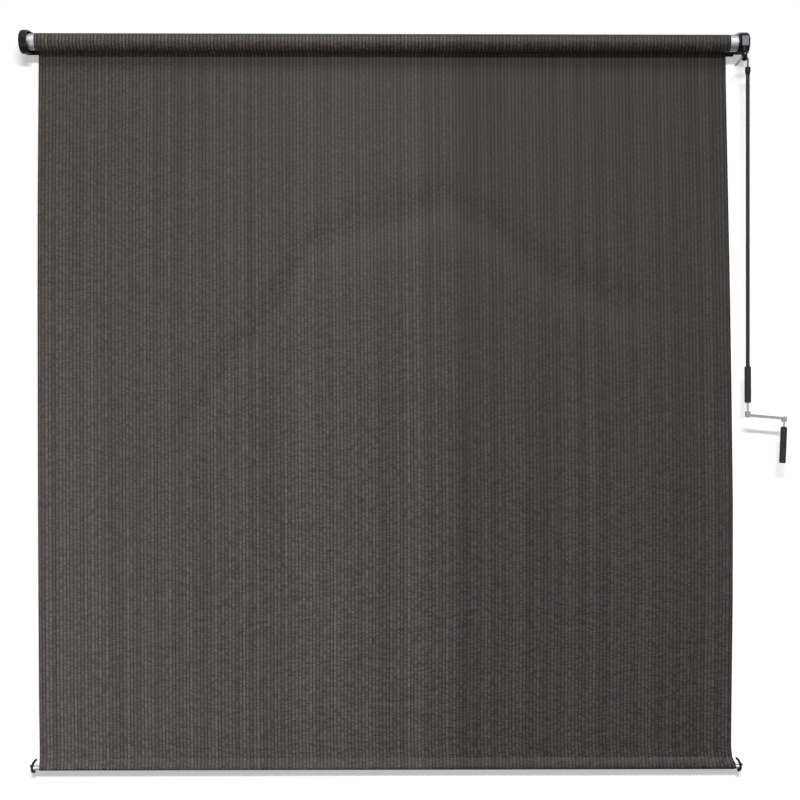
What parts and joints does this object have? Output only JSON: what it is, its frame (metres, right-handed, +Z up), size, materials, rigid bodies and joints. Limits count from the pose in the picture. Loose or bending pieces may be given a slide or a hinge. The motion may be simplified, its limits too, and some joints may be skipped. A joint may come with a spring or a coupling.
{
  "type": "outdoor roller shade",
  "caption": "Outdoor roller shade: ribbed knit cloth on an aluminium tube between wall brackets, wound by a worm drive with a hooked folding crank, with a weighted hem and cord cleats.",
  "frame": {"origin": "on the wall plane, midway between the four wall screws, at the height of the roller's axis", "axes": "+X to the right along the roller, +Y into the wall, +Z up"},
  "size_m": [2.0034, 0.0841, 1.9552],
  "materials": {
    "black_plastic": "moulded, satin",
    "black_grip": "moulded, fine grain",
    "grey_case": "light grey paint on a casting",
    "bare_aluminium": "drawn, mill finish",
    "shade_cloth": "ribbed knit, dark grey-brown",
    "white_plastic": "moulded",
    "grey_plastic": "moulded",
    "steel": "zinc plated",
    "brass": "machined",
    "chromed_steel": "polished",
    "wand_coat": "dark grey powder coat"
  },
  "bodies": {
    "mount": {"left_bracket": "black_plastic", "right_bracket": "black_plastic", "idler_bush": "white_plastic", "drive_bush": "white_plastic", "gear_case": "grey_case", "gear_case_lid": "black_plastic", "worm_bush": "black_plastic", "gear_cover": "black_plastic", "case_screws": "steel", "hanging_fabric": "shade_cloth"},
    "roller": {"roller_tube": "bare_aluminium", "fabric_roll": "shade_cloth", "fabric_spline": "white_plastic", "idler_plug": "grey_plastic", "idler_pin": "steel", "drive_plug": "grey_plastic", "drive_shaft": "steel", "worm_wheel": "brass"},
    "crank": {"worm_shaft": "steel", "crank_eye": "black_plastic", "eye_pin": "steel", "crank_hook": "chromed_steel", "hook_ferrule": "black_plastic", "wand_tube": "wand_coat", "upper_knuckle": "steel", "upper_rivet": "steel"},
    "upper_grip": {"upper_grip": "black_grip"},
    "arm": {"crank_arm": "steel"},
    "handle": {"lower_knuckle": "steel", "lower_rivet": "steel", "grip_retainer": "steel"},
    "lower_grip": {"lower_grip": "black_grip"},
    "hem": {"hem_pocket": "shade_cloth", "bottom_bar": "bare_aluminium", "left_cleat_cap": "black_plastic", "right_cleat_cap": "black_plastic"}
  },
  "joints": [
    {"name": "crank_spin", "type": "hinge", "parent": "mount", "child": "crank", "pos_m": [0.94335, -0.072, 0], "axis": [0, 0, 1], "range_deg": [0, 25920]},
    {"name": "tube_spin", "type": "hinge", "parent": "mount", "child": "roller", "pos_m": [0, -0.052, 0], "axis": [1, 0, 0], "range_deg": [0, 3703]},
    {"name": "hem_slide", "type": "slide", "parent": "mount", "child": "hem", "axis": [0, 0, 1], "range_m": [0, 1.776], "deforming": ["hanging_fabric"]},
    {"name": "upper_grip_spin", "type": "hinge", "parent": "crank", "child": "upper_grip", "pos_m": [0.95235, -0.072, -0.896], "axis": [0, 0, 1], "continuous": true},
    {"name": "arm_fold", "type": "hinge", "parent": "crank", "child": "arm", "pos_m": [0.95235, -0.072, -0.976], "axis": [0, 1, 0], "range_deg": [-5, 85]},
    {"name": "handle_fold", "type": "hinge", "parent": "arm", "child": "handle", "pos_m": [1.04798, -0.072, -0.98437], "axis": [0, 1, 0], "range_deg": [-87.5, 2.5]},
    {"name": "lower_grip_spin", "type": "hinge", "parent": "handle", "child": "lower_grip", "pos_m": [1.04798, -0.072, -0.98437], "axis": [0.0436, 0, 0.999], "continuous": true}
  ],
  "couplings": [
    {"joint": "tube_spin", "follows": "crank_spin", "ratio": 0.14286},
    {"joint": "hem_slide", "follows": "crank_spin", "m_per_rad": 0.0039258}
  ]
}
